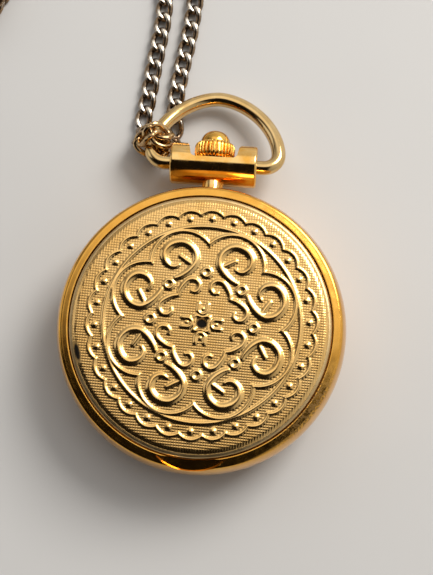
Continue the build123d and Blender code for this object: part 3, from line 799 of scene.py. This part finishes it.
def clasp_parts():
    """A lobster clasp: a hooked body, its sprung arm, an eye and the ring that joins it to the chain."""
    steps = 48
    body, radii = [], []
    for i in range(steps):
        a = 2 * math.pi * i / steps
        body.append((1.02 * math.sin(a) * (1 - 0.28 * math.cos(a)), 2.35 * math.cos(a), 0))
        radii.append(0.50 + 0.16 * math.cos(a + math.pi) ** 2 * (math.cos(a) < 0))
    parts = [tube(body, radii, 12, (0, 0, 1), closed=True)]
    arm = [(0.98, -0.6, 0.1), (1.25, -0.9, 0.25), (1.42, -1.3, 0.3)]
    parts.append(tube(arm, (0.26, 0.24, 0.16), 10, (0, 0, 1)))
    eye = [(0.52 * math.cos(a), -3.35 + 0.52 * math.sin(a), 0) for a in np.linspace(0, 2 * math.pi, 25)[:-1]]
    parts.append(tube(eye, 0.24, 10, (0, 0, 1), closed=True))
    loop = [(0, 3.35 + 0.75 * math.sin(a), 0.62 * math.cos(a)) for a in np.linspace(0, 2 * math.pi, 33)[:-1]]
    parts.append(tube(loop, 0.20, 10, (1, 0, 0), closed=True))
    points, faces = join(parts)
    return points + np.array([*CLASP_AT, CLASP_Z]), faces


clasp = add_mesh("clasp", *clasp_parts(), chain_bronze, crease=50)
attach(clasp, "root")
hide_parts("chain_clasp")

# ---- embossed cover ------------------------------------------------------------------------------
FIELD_R = 15.22
FIELD_Z = 10.65
ROLL_R = 14.55  # where the field starts to roll down to the rim
ROLL_DROP = 0.18
GRID = 0.31  # the pitch of the struck grid
GRID_SAMPLES = 3
GRID_DEPTH = 0.062
ORNAMENT_TURN = math.radians(-1.8)
ORNAMENT_AT = (0.20, 0.16)  # the strike is a little off the case's centre
SCALLOPS = 30
SCALLOP_R, SCALLOP_DIP = 13.68, 0.58
DOT_R = 12.72
CIRCLE_R = 11.72
CUSP_R, LOBE_TOP_R = 9.60, 11.52
# strokes in one eighth: along its axis, away from it, and how far the ridge's foot reaches
SCROLL = (
    (5.14, 3.70, 0.36), (5.50, 2.95, 0.46), (6.30, 2.02, 0.54), (7.35, 1.42, 0.56), (8.50, 1.62, 0.54),
    (9.32, 2.45, 0.55), (9.55, 3.45, 0.60), (9.12, 4.60, 0.62), (8.20, 5.25, 0.60), (7.18, 5.10, 0.52),
    (6.60, 4.50, 0.42), (6.52, 3.90, 0.36), (6.76, 3.42, 0.28),
)
TONGUE = ((7.00, 1.85, 0.40), (7.30, 2.40, 0.40), (7.60, 2.90, 0.38), (7.84, 3.30, 0.34))
BRACE = (
    (3.15, 3.12, 0.34), (3.75, 3.00, 0.38), (4.50, 2.60, 0.42), (5.10, 2.05, 0.42), (5.22, 1.35, 0.40),
    (4.80, 0.78, 0.38), (4.15, 0.72, 0.36), (3.72, 1.10, 0.34), (3.78, 1.55, 0.28),
)
SMALL_RING_R, SMALL_RING = 6.16, 0.50
U_CLOSED_R, U_OPEN_R, U_HALF_W = 1.12, 2.32, 0.54


STAR_R, STAR_WAVE = 0.92, 0.22
PIT_HALF_W, PIT_HALF_H, PIT_DEPTH = 0.72, 0.60, 0.20
BAND_STEP = 0.05  # the band outside the scallops stands this much higher
EIGHTH = math.radians(22.5)  # the middle of one eighth
# each ridge: how far its foot reaches, and its height
CIRCLE_RIDGE, SCALLOP_RIDGE, DOT_RIDGE = (0.34, 0.16), (0.30, 0.15), (0.46, 0.17)
LOBE_RIDGE, RING_RIDGE, STAR_RIDGE = (0.33, 0.17), (0.32, 0.19), (0.30, 0.17)
U_RIDGE, LEAF_RIDGE = (0.29, 0.20), (0.26, 0.13)
RIDGE_SLOPE, RIDGE_TOP = 0.44, 0.25  # a stroke's height by its foot, and at the most
CHIP_R, CHIP_DEGREES = 14.85, -162  # where the cover's edge has lost its plating
CHIP_HALF_R, CHIP_HALF_DEGREES = 0.48, 6.0


def about(radius, angle):
    return np.array([radius * math.cos(angle), radius * math.sin(angle)])


def stroke(controls, steps=10):
    """A smooth line (x, y, reach) through its control points."""
    points = np.array(controls)
    points = np.vstack([2 * points[0] - points[1], points, 2 * points[-1] - points[-2]])
    line = []
    for a, b, c, d in zip(points, points[1:], points[2:], points[3:]):
        for t in np.arange(steps) / steps:
            curve = 2 * b + (c - a) * t + (2 * a - 5 * b + 4 * c - d) * t**2
            line.append(0.5 * (curve + (3 * b - a - 3 * c + d) * t**3))
    return np.array(line + [points[-2]])


def ridge(distance, reach, height):
    """A rounded ridge by the distance from its middle line."""
    return height * (1 - np.clip(distance / reach, 0, 1) ** 2) ** 1.25


def stroke_height(x, y, line):
    """The height of a ridge along a line whose foot changes its reach."""
    best = np.zeros_like(x)
    for px, py, reach in line:
        height = min(RIDGE_SLOPE * reach, RIDGE_TOP)
        best = np.maximum(best, ridge(np.hypot(x - px, y - py), reach, height))
    return best


def scalloped_edge(radius, turn):
    """The scalloped line and its dots, as relief, and the step up outside them."""
    wave = SCALLOP_R - SCALLOP_DIP * (1 - np.abs(np.sin(np.radians(turn * SCALLOPS / 2))) ** 0.75)
    line = ridge(np.abs(radius - wave), *SCALLOP_RIDGE)
    spacing = 360 / SCALLOPS
    beside = turn % spacing - spacing / 2
    dots = ridge(np.hypot(radius - DOT_R, radius * np.radians(beside)), *DOT_RIDGE)
    return np.maximum(line, dots), BAND_STEP * np.clip((radius - wave) / 0.25, 0, 1)


def lobes(x, y):
    """One arc in each eighth, from cusp to cusp."""
    chord, half_chord = CUSP_R * math.cos(EIGHTH), CUSP_R * math.sin(EIGHTH)
    sagitta = LOBE_TOP_R - chord
    lobe_r = (half_chord**2 + sagitta**2) / (2 * sagitta)
    centre = about(LOBE_TOP_R - lobe_r, EIGHTH)
    distance = np.abs(np.hypot(x - centre[0], y - centre[1]) - lobe_r)
    return ridge(np.where(np.hypot(x, y) > 9.0, distance, 9.0), *LOBE_RIDGE)


def centre_figure(x, y, radius, turn):
    """The four open loops and the star round the pit."""
    bend_x = U_CLOSED_R + U_HALF_W
    arm = np.where(x < bend_x, np.abs(np.hypot(x - bend_x, y) - U_HALF_W), np.abs(y - U_HALF_W))
    arm = np.where(x > U_OPEN_R, np.hypot(x - U_OPEN_R, y - U_HALF_W), arm)
    leaf = np.hypot((x - 1.75) / 1.2, y)
    star = np.abs(radius * (1 + STAR_WAVE * np.cos(np.radians(turn * 4))) - STAR_R)
    return np.maximum.reduce([ridge(arm, *U_RIDGE), ridge(leaf, *LEAF_RIDGE), ridge(star, *STAR_RIDGE)])


def struck_grid(x, y):
    """The fine grid of small raised squares."""
    fine_x, fine_y = (x / GRID) % 1, (y / GRID) % 1
    groove = np.minimum(np.minimum(fine_x, 1 - fine_x), np.minimum(fine_y, 1 - fine_y))
    return GRID_DEPTH * np.clip(groove / 0.30, 0, 1)


def ornament(x, y):
    """The height above the field, how deep in a hollow each point is, and where the pit is."""
    rim_distance = np.hypot(x, y)
    c, s = math.cos(ORNAMENT_TURN), math.sin(ORNAMENT_TURN)
    x = x - ORNAMENT_AT[0] * c - ORNAMENT_AT[1] * s
    y = y + ORNAMENT_AT[0] * s - ORNAMENT_AT[1] * c
    radius = np.hypot(x, y)
    turn = np.degrees(np.arctan2(y, x))
    folded = np.radians(np.abs((turn + 45) % 90 - 45))
    fx, fy = radius * np.cos(folded), radius * np.sin(folded)

    edge, band = scalloped_edge(radius, turn)
    ridges = [edge, ridge(np.abs(radius - CIRCLE_R), *CIRCLE_RIDGE), lobes(fx, fy)]
    for angle in (0.0, 2 * EIGHTH):
        at = about(SMALL_RING_R, angle)
        ridges.append(ridge(np.abs(np.hypot(fx - at[0], fy - at[1]) - SMALL_RING), *RING_RIDGE))
    ridges += [stroke_height(fx, fy, stroke(controls)) for controls in (SCROLL, TONGUE, BRACE)]
    ridges.append(centre_figure(fx, fy, radius, turn))
    relief = np.maximum.reduce(ridges)
    grid = struck_grid(x, y)
    pit = np.clip(1.6 * (1 - np.hypot(x / PIT_HALF_W, y / PIT_HALF_H) ** 4), 0, 1)

    smooth = np.clip(relief / 0.05, 0, 1)
    height = relief + band + grid * (1 - smooth) * (1 - pit) - PIT_DEPTH * pit
    rise = np.clip((FIELD_R - rim_distance) / 0.40, 0, 1)
    roll = np.clip((rim_distance - ROLL_R) / (FIELD_R - ROLL_R), 0, 1)
    # the hollows, where the material paints dirt and shade
    hollow = np.clip((0.020 - (relief + grid)) / 0.020, 0, 1) * rise
    return height * rise - ROLL_DROP * roll**2, hollow, pit


def cover_field():
    """The struck disc, as a grid of points lined up with its own fine grid."""
    step = GRID / GRID_SAMPLES
    reach = int(FIELD_R / step) + 2
    line = np.arange(-reach, reach + 1) * step
    x, y = np.meshgrid(line, line)
    x, y = x.ravel(), y.ravel()
    count = len(line)
    radius = np.hypot(x, y)
    height, hollow, pit = ornament(x, y)
    edge = radius > FIELD_R - 0.6 * step
    x, y = (np.where(edge, v * FIELD_R / np.maximum(radius, 1e-9), v) for v in (x, y))
    index = np.full(len(x), -1)
    corner = (np.arange(count - 1)[:, None] * count + np.arange(count - 1)[None, :]).ravel()
    corners = np.stack([corner, corner + 1, corner + count + 1, corner + count], axis=1)
    inside = (radius[corners] < FIELD_R + 0.55 * step).all(axis=1)
    corners = corners[inside]
    used = np.unique(corners)
    index[used] = np.arange(len(used))
    faces = index[corners].tolist()
    c, s = math.cos(ORNAMENT_TURN), math.sin(ORNAMENT_TURN)
    points = np.stack([x * c - y * s, x * s + y * c, FIELD_Z + height], axis=1)[used]
    field = add_mesh("back_field", points, faces, gold_embossed, crease=180)
    work = bmesh.new()
    work.from_mesh(field.data)
    border = [e for e in work.edges if e.is_boundary]
    skirt = bmesh.ops.extrude_edge_only(work, edges=border)["geom"]
    for vertex in (v for v in skirt if isinstance(v, bmesh.types.BMVert)):
        vertex.co.z = (FIELD_Z - ROLL_DROP - 0.10) * MM
    bmesh.ops.holes_fill(work, edges=[e for e in work.edges if e.is_boundary], sides=0)
    bmesh.ops.recalc_face_normals(work, faces=work.faces)
    work.to_mesh(field.data)
    work.free()
    finish_shading(field.data, 75)
    extra = len(field.data.vertices) - len(used)
    off_r = (radius - CHIP_R) / CHIP_HALF_R
    off_turn = (np.degrees(np.arctan2(y, x)) - CHIP_DEGREES) / CHIP_HALF_DEGREES
    chip = np.clip(2.2 - 2.2 * np.hypot(off_r, off_turn), 0, 1)
    for name, values in (("hollow", hollow[used]), ("bare", np.maximum(pit, chip)[used])):
        add_values(field, name, np.concatenate([values, np.zeros(extra)]))
    return field


field = cover_field()
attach(field, "back")

cover_outline = (
    [(0.0, 9.90), (14.12, 9.90), (14.20, 9.82), (14.20, 7.98), (14.28, 7.90), (14.62, 7.90), (14.70, 7.98)]
    + [(14.70, 8.98), (15.58, 8.98), (15.66, 9.06), (15.66, 10.00)]
    + arc((15.65, 10.08), (15.54, 10.35), (15.30, 10.46), 10)
    + [(15.22, 10.47), (15.17, 10.42), (15.12, 10.34), (0.0, 10.34)]
)
rim = lathe("back_rim", cover_outline, gold_rim, 256)
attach(rim, "back")
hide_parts("back_cover")

# ---- case middle ---------------------------------------------------------------------------------
NOTCH_HALF_W, NOTCH_DEPTH, NOTCH_SPARE = 4.1, 1.35, 0.35
NOTCH_Y, NOTCH_TOP = -15.45, 9.75  # where the sloped floor starts
NOTCH_SLOPE = math.radians(24)
PITTED_DEGREES = -34  # the middle of the ring's worn stretch


def case_outline():
    """The case middle cut through: its side, the ring round the back, and the seats inside."""
    side = arc((16.62, 1.92), (17.25, 3.3), (17.5, 5.2), 12)
    side += arc((17.5, 5.2), (17.44, 8.1), (16.90, 9.80), 16)[1:]
    ring = arc((16.90, 9.80), (16.74, 9.90), (16.50, 9.95), 6)[1:] + [(16.40, 9.965), (16.02, 10.03)]
    inside = [
        (15.92, 10.045), (15.83, 10.03), (15.80, 9.97), (15.80, 8.90), (15.50, 8.90), (15.50, 8.55),
        (15.00, 8.55), (15.00, 8.90), (14.75, 8.90), (14.75, 3.40), (13.92, 3.40), (13.90, 3.36),
        (13.90, 1.96), (13.94, 1.90), (15.26, 1.90), (15.26, 2.66), (15.64, 2.66), (15.64, 1.90),
        (16.58, 1.90),
    ]
    return side + ring + inside


case = lathe("case_body", case_outline(), gold_case, 256)
depth = NOTCH_DEPTH + NOTCH_SPARE
notch_r = (NOTCH_HALF_W**2 + depth**2) / (2 * depth)
swing = math.asin(NOTCH_HALF_W / notch_r)
notch_centre = notch_r - depth
crescent = [
    (notch_r * math.sin(a), notch_centre - notch_r * math.cos(a)) for a in np.linspace(-swing, swing, 41)
]
sloped = Matrix.Translation((0, NOTCH_Y, NOTCH_TOP)) @ Matrix.Rotation(NOTCH_SLOPE, 4, "X")
cutter = prism("notch", crescent, 0.0, 3.0, gold_case, sloped)
along_y = Matrix.Translation((0, 0, STEM_Z)) @ Matrix.Rotation(math.radians(-90), 4, "X")
hole = lathe("hole", [(0, 13.5), (1.36, 13.5), (1.36, 18.5), (0, 18.5)], gold_case, 64, along_y)
cut_out(case, [cutter, hole])
soften(case, 0.05, limit=50, segments=2)
spots = np.array([v.co for v in case.data.vertices]) / MM
off_turn = np.abs(np.degrees(np.arctan2(spots[:, 1], spots[:, 0])) - PITTED_DEGREES)
pitted = np.clip(1.5 - off_turn / 16, 0, 1) * np.clip((spots[:, 2] - 9.3) / 0.4, 0, 1)
add_values(case, "pitted", 0.8 * pitted)
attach(case, "root")
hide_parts("case_middle")

bezel_outline = (
    [(13.60, 0.35), (13.60, 0.06), (13.66, 0.0), (15.05, 0.0)]
    + arc((15.1, 0.0), (16.20, 0.64), (16.58, 1.84), 12)
    + [(16.56, 1.90), (15.60, 1.90), (15.60, 2.56), (15.56, 2.60), (15.34, 2.60), (15.30, 2.56)]
    + [(15.30, 1.90), (14.40, 1.90), (14.40, 0.35)]
)
bezel = lathe("bezel_ring", bezel_outline, gold_case, 256)
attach(bezel, "root")
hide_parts("case_bezel")

# ---- neck, bar and crown -------------------------------------------------------------------------
neck_outline = rounded([(0.60, 14.97), (1.35, 14.97), (1.35, 19.58), (0.60, 19.58)], 0.08, 3)
neck = lathe("neck", neck_outline, gold_bar, 96, along_y)
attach(neck, "root")
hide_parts("pendant_tube")

along_x = Matrix.Translation((0, BAR_Y, STEM_Z)) @ Matrix.Rotation(math.radians(90), 4, "Y")
bar_outline = rounded(
    [(0, -BAR_HALF_W), (BAR_R, -BAR_HALF_W, 0.34), (BAR_R, BAR_HALF_W, 0.34), (0, BAR_HALF_W)], 0.0, 6
)
bar = lathe("bar", bar_outline, gold_bar, 160, along_x)
half_saddle = [(2.85, 21.60, 0.6), (3.12, 23.1, 0.6), (3.75, 24.2, 0)]
saddle = rounded(half_saddle + [(-x, y, r) for x, y, r in reversed(half_saddle)], 0.0, 6)
saddle_cut = prism("saddle", saddle, 1.0, 8.5, gold_bar)
socket_outline = [(0, 18.0), (1.36, 18.0), (1.36, 19.61), (0.60, 19.61), (0.60, 22.5), (0, 22.5)]
socket = lathe("socket", socket_outline, gold_bar, 64, along_y)
bores = [
    lathe("bore", [(0, low), (0.95, low), (0.95, high), (0, high)], gold_bar, 48, along_x)
    for low, high in ((-6.5, -4.2), (4.2, 6.5))
]
cut_out(bar, [saddle_cut, socket, *bores])
soften(bar, 0.13, limit=42, segments=3)
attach(bar, "root")
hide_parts("bow_bar")

FLUTES = 30
COLUMNS_PER_FLUTE = 12
CROWN_IN, CROWN_OUT, CROWN_TOP = 21.85, 24.00, 25.60
CROWN_R, FLUTE_DEPTH = 2.55, 0.34
BAND_FOOT_R = 2.08  # the fluted band's radius at its two edges
DOME_R = 1.85


def crown_points():
    """The crown: rows along its axis, each a ring that is fluted on the band and round elsewhere."""
    columns = FLUTES * COLUMNS_PER_FLUTE
    turn = np.arange(columns) * 2 * math.pi / columns
    phase = (np.arange(columns) % COLUMNS_PER_FLUTE) / COLUMNS_PER_FLUTE
    groove = np.clip((np.abs(2 * phase - 1) - 0.42) / 0.42, 0, 1)
    flute = 1 - groove * groove * (3 - 2 * groove)
    rows = [(0.46, CROWN_IN + 0.02, 0), (1.9, CROWN_IN, 0), (2.02, CROWN_IN + 0.02, 0.0)]
    band_start = CROWN_IN + 0.05
    for share in np.linspace(0, 1, 23):
        bulge = 1 - abs(2 * share - 1) ** 5
        radius = BAND_FOOT_R + (CROWN_R - BAND_FOOT_R) * bulge
        rows.append((radius, band_start + share * (CROWN_OUT - band_start), bulge))
    dome_start = CROWN_OUT + 0.02
    rows += [(2.0, CROWN_OUT + 0.04, 0), (1.90, CROWN_OUT + 0.05, 0), (DOME_R, dome_start, 0)]
    for share in np.linspace(0, 1, 17)[1:]:
        a = math.pi / 2 * share
        radius = DOME_R * math.cos(a) ** 0.86 if share < 1 else 0.004
        rows.append((radius, dome_start + (CROWN_TOP - dome_start) * math.sin(a), 0))
    points = []
    for radius, y, depth_share in rows:
        r = radius - FLUTE_DEPTH * depth_share**0.5 * (1 - flute)
        points.append(np.stack([r * np.cos(turn), np.full(columns, y), STEM_Z + r * np.sin(turn)], axis=1))
    faces = grid_faces(len(rows), columns)
    faces.append(tuple(range((len(rows) - 1) * columns, len(rows) * columns)))
    faces.append(tuple(range(columns)))
    return np.concatenate(points), faces


crown = add_mesh("crown_knob", *crown_points(), gold_crown, crease=50)
face_outward(crown, 50)
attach(crown, "crown")
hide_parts("crown_cap")


# ---- floor and light -----------------------------------------------------------------------------
FLOOR_HALF = 1500
FLOOR_Z_BELOW = -0.02


def add_floor():
    """A plain pale floor, just clear of the watch."""
    n = Nodes("floor")
    tone = n.spread(n.noise(60.0, 3), 0.3, 0.7, 0, 1)
    n.set(Base_Color=n.mix(tone, (0.66, 0.66, 0.66), (0.63, 0.63, 0.63)), Roughness=0.75)
    around = ((-1, -1), (1, -1), (1, 1), (-1, 1))
    corners = [(x * FLOOR_HALF, y * FLOOR_HALF, FLOOR_Z_BELOW) for x, y in around]
    floor = add_mesh("floor", corners, [(0, 1, 2, 3)], n.material)


def add_light(name, place, size, power, colour):
    """A rectangular light at a place in metres, turned to the watch."""
    data = bpy.data.lights.new(name, "AREA")
    data.shape = "RECTANGLE"
    data.size, data.size_y = size
    data.energy = power
    data.color = colour
    light = bpy.data.objects.new(name, data)
    light.location = place
    light.rotation_euler = (-Vector(place)).to_track_quat("-Z", "Y").to_euler()
    bpy.context.collection.objects.link(light)


def add_world():
    """A pale room with a window beyond the watch, dim on the left and dark over the photographer."""
    world = bpy.context.scene.world or bpy.data.worlds.new("world")
    bpy.context.scene.world = world
    world.use_nodes = True
    world.node_tree.nodes.clear()
    n = NodeTree(world.node_tree)
    new = n.tree.nodes.new
    split = new("ShaderNodeSeparateXYZ")
    n.link(new("ShaderNodeTexCoord").outputs["Generated"], split.inputs[0])
    x, y, z = split.outputs["X"], split.outputs["Y"], split.outputs["Z"]

    def rising(value, low, high):
        return n.spread(value, low, high, 0, 1, "SMOOTHSTEP")

    def falling(value, low, high):
        return n.maths("SUBTRACT", 1.0, rising(value, low, high))

    def both(a, b):
        return n.maths("MULTIPLY", a, b)

    def along(by_x, by_y):
        """How far a direction points along another in the floor's plane."""
        return n.maths("ADD", both(x, by_x), both(y, by_y))

    lean = n.maths("ARCTAN2", both(y, -1.0), z)  # from straight up towards the photographer, radians
    above = rising(z, 0.10, 0.32)
    dark = both(both(rising(lean, -0.07, -0.01), falling(lean, 1.28, 1.45)), falling(x, 0.28, 0.48))
    left = both(rising(along(-0.8, -0.6), 0.10, 0.42), 0.94)
    aside = n.maths("ABSOLUTE", x, 0.0)
    window = both(both(rising(lean, -0.95, -0.70), falling(lean, -0.11, -0.05)), falling(aside, 0.30, 0.55))
    bright = rising(along(0.75, 0.65), -0.1, 0.9)
    room = n.mix(bright, (0.46, 0.45, 0.44), (0.90, 0.88, 0.85))
    room = n.mix(window, room, (1.30, 1.22, 1.12))
    room = n.mix(both(left, above), room, (0.055, 0.030, 0.011))
    room = n.mix(both(dark, above), room, (0.010, 0.008, 0.007))
    back = new("ShaderNodeBackground")
    n.link(room, back.inputs["Color"])
    back.inputs["Strength"].default_value = 0.9
    n.link(back.outputs[0], new("ShaderNodeOutputWorld").inputs["Surface"])


add_floor()
add_world()
bpy.context.scene.view_settings.view_transform = "Standard"
add_light("key", (0.24, 0.26, 0.34), (0.22, 0.24), 1.85, (1.0, 0.96, 0.90))
add_light("fill", (-0.45, 0.10, 0.22), (0.25, 0.25), 0.15, (0.95, 0.97, 1.0))
